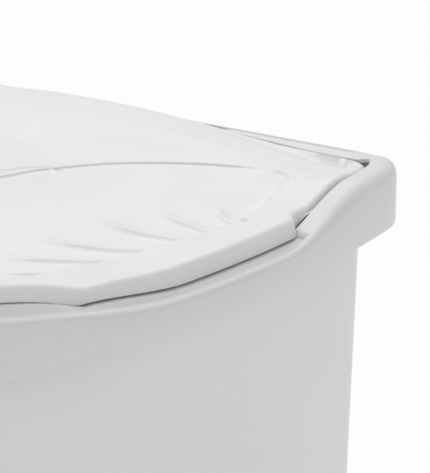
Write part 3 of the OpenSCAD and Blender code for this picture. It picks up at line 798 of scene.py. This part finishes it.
def panel_height(points, crease_gap, edge_gap):
    """A scooped panel: level behind, falling towards its outer edge, where a short wall meets the flange."""
    size = bpy.context.scene.bin_lid
    x, y = points[:, 0], points[:, 1]
    across = np.minimum(x / PANEL_END_X, 1.0)
    back = PLATEAU_H - PLATEAU_DROP * across**2 - size.step * (1 - smooth((x - 118 * MM) / (30 * MM)))
    share = crease_gap / (crease_gap + edge_gap + 1e-9)
    lobe = smooth((y - 78 * MM) / (34 * MM))
    height = back - size.scoop * smooth((share - 0.25) / 0.6) * (1 - lobe)
    height = height - LOBE_DEPTH * lobe * smooth(share * 1.6)
    rim = outer_height(x, y)
    height += (rim - height) * (1 - smooth(edge_gap / (3.5 * MM)))
    step = PLATEAU_H - PLATEAU_DROP * across**2 - back
    return height + step * (1 - smooth(crease_gap / (1.3 * MM)))


def lid_height(points, detail=True):
    """Height of the lid's upper surface above the collar, away from its rim."""
    size = bpy.context.scene.bin_lid
    right = np.column_stack([np.abs(points[:, 0]), points[:, 1]])
    crease_gap, _ = distance_to(right, CREASE)
    edge_gap, _ = distance_to(right, PANEL_EDGE)
    past_middle = [[-MM, -160 * MM], [-MM, 20 * MM]]
    in_panel = inside(right + np.array([1e-7, 0]), np.concatenate([PANEL, past_middle]))
    panel = panel_height(right, crease_gap, edge_gap)
    height = np.where(in_panel, panel, outer_height(right[:, 0], right[:, 1]))
    height = height + front_lift(right[:, 1], FRONT_START)
    if detail:
        for line in RIBS:
            gap, along = distance_to(right, line)
            rise = size.rib * smooth(along / 0.5) * smooth((1 - along) * 12 + 0.3)
            height = height + rise * np.maximum(0, 1 - (gap / RIB_HALF_W) ** 2) ** 1.3
        gap, along = distance_to(right, TONGUE_LINE)
        height = height - LINE_DEPTH * np.maximum(0, 1 - (gap / LINE_HALF_W) ** 2) * smooth((1 - along) * 20)
    return height


def lid_outline():
    """The lid's outline, clockwise from the back middle, and its outward normals."""
    size = bpy.context.scene.bin_lid
    half, half_n = half_stations(2.2 * MM, bpy.context.scene.bin_plan.back_corner_r)
    turn = np.degrees(np.arctan2(half_n[:, 1], half_n[:, 0]))
    inset = size.rear_inset + (size.back_inset - size.rear_inset) * smooth((turn - 20) / 60)
    rear = half - half_n * inset[:, None]
    rear = rear[rear[:, 1] > NOTCH_Y + 3 * MM]
    front = half - half_n * size.flange_inset
    front = front[front[:, 1] < NOTCH_Y - MM]
    right = np.concatenate([rear, front])
    run = resample(right, 2.0 * MM)
    for _ in range(2):
        run[1:-1] = 0.25 * run[:-2] + 0.5 * run[1:-1] + 0.25 * run[2:]
    run[0, 0] = run[-1, 0] = 0.0
    loop = whole(run)
    before, after = np.roll(loop, 1, axis=0), np.roll(loop, -1, axis=0)
    along = after - before
    along /= np.hypot(along[:, 0], along[:, 1])[:, None]
    return loop, np.column_stack([-along[:, 1], along[:, 0]])


# Height of the lid's rim: along its rear sides, and along its back from the middle outwards
SIDE_EDGE = np.array([(76, 29.6), (95, 28.6), (103, 31), (116, 34.7), (125, 36), (135, 35.4), (146, 33.6),
                      (158, 32.8)]) * MM
BACK_EDGE = np.array([(0, 41), (30, 40.6), (72, 38), (99, 35.4), (125, 33.4), (145, 32.8), (170, 32.6)]) * MM


def lid_edge_heights(loop):
    """Heights of the lid's rim at each place: its upper edge and its lower edge."""
    size = bpy.context.scene.bin_lid
    x, y = np.abs(loop[:, 0]), loop[:, 1]
    flange_top = ridge_height(y) + front_lift(y, FRONT_START)
    flange_foot = flange_low(y) + front_lift(y, FRONT_START - 5 * MM)
    side_top = np.interp(y, *SIDE_EDGE.T)
    back_top = np.interp(x, *BACK_EDGE.T)
    behind = smooth((y - HALF_D + size.back_inset + 8 * MM) / (7 * MM))
    rear_top = side_top + (back_top - side_top) * behind
    rear = smooth((y - NOTCH_Y + 2 * MM) / (4 * MM))
    rear_foot = np.minimum(24.6 * MM, wave(y) - 2 * MM)
    return flange_top + (rear_top - flange_top) * rear, flange_foot + (rear_foot - flange_foot) * rear


def spread_points(loop, spacing, keep_clear):
    """A grid of points inside a loop, at least keep_clear from it."""
    low, high = loop.min(0), loop.max(0)
    columns = np.arange(0, high[0], spacing)
    columns = np.concatenate([-columns[:0:-1], columns])
    lines = np.arange(low[1], high[1], spacing * 0.87)
    grid = np.array([(x + (0.5 * spacing if i % 2 else 0), y) for i, y in enumerate(lines) for x in columns])
    grid = grid[inside(grid, loop)]
    gap, _ = distance_to(grid, np.concatenate([loop, loop[:1]]))
    return grid[gap > keep_clear]


def apart(points, kept, distance):
    """Those points that lie further than distance from every kept one, found on a coarse hash."""
    cell = distance
    taken = {(int(math.floor(x / cell)), int(math.floor(y / cell))) for x, y in kept}
    free = []
    for x, y in points:
        i, j = int(math.floor(x / cell)), int(math.floor(y / cell))
        if not any((i + a, j + b) in taken for a in (-1, 0, 1) for b in (-1, 0, 1)):
            free.append((x, y))
    return np.array(free).reshape(-1, 2)


def feature_rows():
    """Rows of points that follow the crease, the panels' edges, the ribs and the engraved line."""
    rows = [
        rows_beside(CREASE, np.array([-1.4, -0.5, 0, 0.45, 0.9, 1.35, 2.2]) * -MM, 2.0 * MM),
        rows_beside(PANEL_EDGE, np.array([-1.2, 0, 0.9, 1.8, 2.7, 3.6]) * -MM, 2.4 * MM),
        rows_beside(TONGUE_LINE, np.array([-0.7, -0.35, 0, 0.35, 0.7]) * MM, 1.5 * MM),
    ]
    for line in RIBS:
        rows.append(rows_beside(line, np.array([-2.5, -1.7, -0.8, 0, 0.8, 1.7, 2.5]) * MM, 1.6 * MM))
    right = np.concatenate(rows)
    right = right[right[:, 0] > 0.3 * MM]
    return np.concatenate([right, right * np.array([-1, 1])])


def dedupe(points, distance):
    """The points with near-copies removed."""
    seen, out = set(), []
    for x, y in points:
        key = (round(x / distance), round(y / distance))
        if key not in seen:
            seen.add(key)
            out.append((x, y))
    return np.array(out)


def blended(points, height, loop, edge_top):
    """Draws the surface to the rim's upper edge as it nears it."""
    closed = np.concatenate([loop, loop[:1]])
    gap, along = distance_to(points, closed)
    run = np.concatenate([[0], np.cumsum(np.hypot(*np.diff(closed, axis=0).T))])
    target = np.interp(along * run[-1], run, np.append(edge_top, edge_top[0]))
    rear = smooth((points[:, 1] - NOTCH_Y) / (14 * MM)) * (1 - smooth((points[:, 1] - 146 * MM) / (12 * MM)))
    reach = 5 * MM + 13 * MM * rear
    weight = smooth(gap / reach)
    return target + (height - target) * weight


class BIN_OT_lid(bpy.types.Operator):
    """Build the lid with its flange, hump, tongue, scooped panels and ribs"""

    bl_idname = "pedal_bin.lid"
    bl_label = "Lid"

    def execute(self, context):
        size = context.scene.bin_lid
        loop, normals = lid_outline()
        edge_top, edge_low = lid_edge_heights(loop)
        lean = 1.2 * MM
        radius = 3.4 * MM
        rim = loop - normals * (lean + radius)
        features = feature_rows()
        closed = np.concatenate([rim, rim[:1]])
        gap, _ = distance_to(features, closed)
        features = dedupe(features[inside(features, rim) & (gap > 1.0 * MM)], 0.25 * MM)
        grid = apart(spread_points(rim, 3.6 * MM, 1.8 * MM), features, 1.3 * MM)
        flat, triangles = self.fill(rim, np.concatenate([features, grid]))
        shell = Shell()
        height = blended(flat, lid_height(flat), rim, edge_top)
        shell.surface(np.column_stack([flat, RIM_Z + height]), triangles)

        depth = size.wall + 0.3 * MM
        inner_rim = loop - normals * (size.wall + lean + 1.2 * MM)
        flat, triangles = self.fill(inner_rim, spread_points(inner_rim, 7 * MM, 4 * MM))
        under = blended(flat, lid_height(flat, detail=False), rim, edge_top) - depth
        under_rim = blended(inner_rim, lid_height(inner_rim, detail=False), rim, edge_top) - depth
        shell.surface(np.column_stack([flat, RIM_Z + under]), triangles)

        rings = [ring(loop, normals, lean + radius * (1 - out), RIM_Z + edge_top - radius * down)
                 for out, down in arc_steps(6)]
        wall_foot = np.minimum(edge_low + 0.8 * MM, edge_top - radius - 0.2 * MM)
        rings += [ring(loop, normals, 0, RIM_Z + wall_foot),
                  ring(loop, normals, 0.4 * MM, RIM_Z + edge_low),
                  ring(loop, normals, size.wall - 0.4 * MM, RIM_Z + edge_low),
                  ring(loop, normals, size.wall,
                       RIM_Z + np.minimum(edge_low + 0.6 * MM, under_rim - 1.2 * MM)),
                  ring(loop, normals, size.wall + lean, RIM_Z + under_rim - 1.0 * MM),
                  np.column_stack([inner_rim, RIM_Z + under_rim])]
        shell.loft(rings)
        self.posts(shell)
        shell.finish("lid_moulding", lid_plastic(), "lid", ["lid_shell"], sharp=50)
        return {"FINISHED"}

    @staticmethod
    def fill(rim, points):
        """Triangles over a loop and the points in it, with the loop's own points kept exact."""
        count = len(rim)
        cloud = [Vector(p) for p in np.concatenate([rim, points])]
        edges = [(i, (i + 1) % count) for i in range(count)]
        made = delaunay_2d_cdt(cloud, edges, [], 1, 1e-7)
        flat = np.array([tuple(v) for v in made[0]])
        return flat, made[2]

    @staticmethod
    def posts(shell):
        """Posts under the lid for the hinge frame's screws."""
        for x, y, _ in solid_places("lid_frame_screws"):
            under = float(lid_height(np.array([[x, y]]), detail=False)[0]) - 1.5 * MM
            pillar = [(4.5 * MM, RIM_Z + 23 * MM), (4.5 * MM, RIM_Z + under)]
            shell.lathe(pillar, Matrix.Translation((x, y, 0)), 20)


def solid_places(node):
    """Middle and top of each loose solid in a CAD node."""
    mesh = bmesh.new()
    mesh.from_mesh(frame["nodes"][node].data)
    bmesh.ops.remove_doubles(mesh, verts=mesh.verts, dist=1e-5)
    places, seen = [], set()
    for start in mesh.verts:
        if start in seen:
            continue
        stack, members = [start], []
        seen.add(start)
        while stack:
            vert = stack.pop()
            members.append(vert.co.copy())
            for edge in vert.link_edges:
                other = edge.other_vert(vert)
                if other not in seen:
                    seen.add(other)
                    stack.append(other)
        xs, ys, zs = zip(*members)
        places.append(((min(xs) + max(xs)) / 2, (min(ys) + max(ys)) / 2, max(zs)))
    mesh.free()
    return places


# ---- pedal ----

PEDAL_EDGE_R = 1.6 * MM
PAD_T = 6 * MM
LEVER_T = 5 * MM


def pedal_matrix():
    """Places the pedal's own axes, with Y along the lever, on its pivot."""
    tilt = -math.radians(PEDAL_HINGE["range_deg"][1]) / 2
    return Matrix.Translation(Vector(PEDAL_HINGE["pos_m"])) @ Matrix.Rotation(tilt, 4, "X")


def slot_outline(width, depth, steps=12):
    """Points and outward normals of a slot with round ends, in the XY plane."""
    points, normals = [], []
    reach = width / 2 - depth / 2
    for side in (1, -1):
        for i in range(steps + 1):
            a = math.radians(-90 + 180 * i / steps)
            n = np.array([side * math.cos(a), side * math.sin(a)])
            normals.append(n)
            points.append(np.array([side * reach, 0.0]) + n * depth / 2)
    return np.array(points), np.array(normals)


class BIN_OT_pedal(bpy.types.Operator):
    """Build the foot pad and its ribbed rubber tread"""

    bl_idname = "pedal_bin.pedal"
    bl_label = "Pedal"

    def execute(self, context):
        matrix = pedal_matrix()
        back = matrix.inverted()
        corners = [back @ v.co for v in frame["nodes"]["pedal_pad"].data.vertices]
        low_y, high_y = min(c.y for c in corners), max(c.y for c in corners)
        width = 2 * max(c.x for c in corners)
        middle = Vector((0, (low_y + high_y) / 2, LEVER_T / 2))
        place = matrix @ Matrix.Translation(middle)
        depth = high_y - low_y
        points, normals = slot_outline(width, depth)
        shell = Shell()
        r = PEDAL_EDGE_R
        levels = [(r * (1 - run), r * rise) for run, rise in arc_steps(4)]
        levels += [(r * rise, PAD_T - r * (1 - run)) for run, rise in arc_steps(4)]
        tread = [back @ v.co for v in frame["nodes"]["pedal_tread"].data.vertices]
        tread_w = 2 * max(c.x for c in tread)
        tread_d = max(c.y for c in tread) - min(c.y for c in tread)
        pocket = 1.6 * MM
        rings = [ring(points, normals, inset, z) for inset, z in levels]
        seat_p, seat_n = slot_outline(tread_w + 1.0 * MM, tread_d + 1.0 * MM)
        rings += [ring(seat_p, seat_n, 0, PAD_T), ring(seat_p, seat_n, 0.2 * MM, PAD_T - pocket)]
        shell.loft([[place @ Vector(p) for p in level] for level in rings], cap_start=True, cap_end=True)
        shell.finish("foot_pad", pedal_plastic(), "pedal", ["pedal_pad"])

        mat = Shell()
        base_p, base_n = slot_outline(tread_w, tread_d)
        mat.loft([[place @ Vector(p) for p in ring(base_p, base_n, inset, z)] for inset, z in (
            (0, PAD_T - pocket), (0, PAD_T - 0.3 * MM), (0.4 * MM, PAD_T))], cap_start=True, cap_end=True)
        ribs = 5
        pitch = (tread_d - 4 * MM) / (ribs - 1)
        for i in range(ribs):
            offset = (i - (ribs - 1) / 2) * pitch
            span = tread_w - 6 * MM - 2 * abs(offset)
            rib_p, rib_n = slot_outline(span, 2.0 * MM, 6)
            rib_p = rib_p + np.array([0, offset])
            mat.loft([[place @ Vector(p) for p in ring(rib_p, rib_n, inset, PAD_T + z)] for inset, z in (
                (0, -0.3 * MM), (0.1 * MM, 0.5 * MM), (0.45 * MM, 1.0 * MM), (0.8 * MM, 1.15 * MM))],
                cap_start=True, cap_end=True)
        mat.finish("tread_mat", black_rubber(), "pedal", ["pedal_tread"])
        return {"FINISHED"}


# ---- carried-over pieces ----

PLASTIC_NODES = ("lid_hinge_frame", "rod_channel_cover")
ZINC_NODES = ("collar_screws", "lid_frame_screws", "hinge_pin_left", "hinge_pin_right", "lift_rod",
              "channel_screws", "pedal_lever", "pedal_pivot_pin", "pivot_bracket_left",
              "pivot_bracket_right", "bracket_screws", "pivot_pin_clips")
ACETAL_NODES = ("rod_end_caps", "rod_guide_lower", "rod_guide_upper")
RUBBER_NODES = ("lid_bumpers",)


class BIN_OT_hardware(bpy.types.Operator):
    """Give the rod, lever, brackets, guides, pins and screws their finishes"""

    bl_idname = "pedal_bin.hardware"
    bl_label = "Hardware"

    def execute(self, context):
        finishes = ((PLASTIC_NODES, body_plastic()), (ZINC_NODES, zinc_plate()),
                    (ACETAL_NODES, grey_acetal()), (RUBBER_NODES, black_rubber()))
        for names, material in finishes:
            for name in names:
                node = frame["nodes"][name]
                if not node.material_slots:
                    node.data.materials.append(material)
                for place in node.material_slots:
                    place.material = material
        return {"FINISHED"}


# ---- stage ----

VIEW_TARGET = Vector((150 * MM, 60 * MM, RIM_Z + 30 * MM))
VIEW_AZIMUTH = 30.54
VIEW_ELEVATION = 20.19
VIEW_DISTANCE = 1.5
SENSOR = 36.0
VIEW_LENS = 208.6
VIEW_SHIFT = (-0.0164, -0.0529)
FLOOR_HALF = 12.0
SKY_STRENGTH = 0.42
KEY_STRENGTH = 1.98
KEY_DIRECTION = (-0.42, 0.30, 1.0)     # towards the key light
FILL_STRENGTH = 0.35
FILL_DIRECTION = (1.0, 0.25, 0.35)


class BIN_OT_stage(bpy.types.Operator):
    """Set out the pale floor, the soft studio light and the camera"""

    bl_idname = "pedal_bin.stage"
    bl_label = "Stage"

    def execute(self, context):
        scene = context.scene
        floor_mesh = bpy.data.meshes.new("studio_floor")
        h = FLOOR_HALF
        floor_mesh.from_pydata([(-h, -h, 0), (h, -h, 0), (h, h, 0), (-h, h, 0)], [], [(0, 1, 2, 3)])
        material, _ = node_material("studio floor", (0.96, 0.96, 0.96), 0.9)
        floor_mesh.materials.append(material)
        floor = bpy.data.objects.new("studio_floor", floor_mesh)
        scene.collection.objects.link(floor)

        world = bpy.data.worlds.new("studio")
        world.use_nodes = True
        sky = world.node_tree.nodes["Background"]
        sky.inputs["Color"].default_value = (1.0, 1.0, 1.0, 1.0)
        sky.inputs["Strength"].default_value = SKY_STRENGTH
        scene.world = world

        for name, strength, spread, toward in (("key", KEY_STRENGTH, 70, KEY_DIRECTION),
                                               ("fill", FILL_STRENGTH, 90, FILL_DIRECTION)):
            light = bpy.data.lights.new(name, "SUN")
            light.energy = strength
            light.angle = math.radians(spread)
            lamp = bpy.data.objects.new(name, light)
            lamp.rotation_mode = "QUATERNION"
            lamp.rotation_quaternion = Vector(toward).to_track_quat("Z", "Y")
            scene.collection.objects.link(lamp)

        a, e = math.radians(VIEW_AZIMUTH), math.radians(VIEW_ELEVATION)
        back = Vector((math.sin(a) * math.cos(e), -math.cos(a) * math.cos(e), math.sin(e)))
        lens = bpy.data.cameras.new("camera")
        lens.sensor_width = SENSOR
        lens.lens = VIEW_LENS
        lens.shift_x, lens.shift_y = VIEW_SHIFT
        camera = bpy.data.objects.new("camera", lens)
        camera.location = VIEW_TARGET + back * VIEW_DISTANCE
        camera.rotation_mode = "QUATERNION"
        camera.rotation_quaternion = back.to_track_quat("Z", "Y")
        scene.collection.objects.link(camera)
        scene.camera = camera
        scene.view_settings.view_transform = "Standard"
        return {"FINISHED"}


# ---- add-on ----


class BIN_PT_panel(bpy.types.Panel):
    """Lists the pieces and their sizes"""

    bl_label = "Pedal bin"
    bl_space_type = "VIEW_3D"
    bl_region_type = "UI"
    bl_category = "Pedal bin"

    def draw(self, context):
        layout = self.layout
        for operator in OPERATORS:
            layout.operator(operator.bl_idname)
        for group in PROPERTY_NAMES:
            box = layout.box()
            values = getattr(context.scene, group)
            for name in values.__annotations__:
                box.prop(values, name)


OPERATORS = (BIN_OT_body, BIN_OT_feet, BIN_OT_collar, BIN_OT_lid, BIN_OT_pedal, BIN_OT_hardware, BIN_OT_stage)
PROPERTY_NAMES = {
    "bin_plan": BinPlan,
    "bin_body": BodySizes,
    "bin_collar": CollarSizes,
    "bin_lid": LidSizes,
    "bin_finishes": Finishes,
}
CLASSES = (*PROPERTY_NAMES.values(), *OPERATORS, BIN_PT_panel)


def register():
    for item in CLASSES:
        bpy.utils.register_class(item)
    for name, group in PROPERTY_NAMES.items():
        setattr(bpy.types.Scene, name, PointerProperty(type=group))


def unregister():
    for name in PROPERTY_NAMES:
        delattr(bpy.types.Scene, name)
    for item in reversed(CLASSES):
        bpy.utils.unregister_class(item)


def main():
    register()
    bpy.ops.pedal_bin.body()
    bpy.ops.pedal_bin.feet()
    bpy.ops.pedal_bin.collar()
    bpy.ops.pedal_bin.lid()
    bpy.ops.pedal_bin.pedal()
    bpy.ops.pedal_bin.hardware()
    bpy.ops.pedal_bin.stage()


if __name__ == "__main__":
    main()
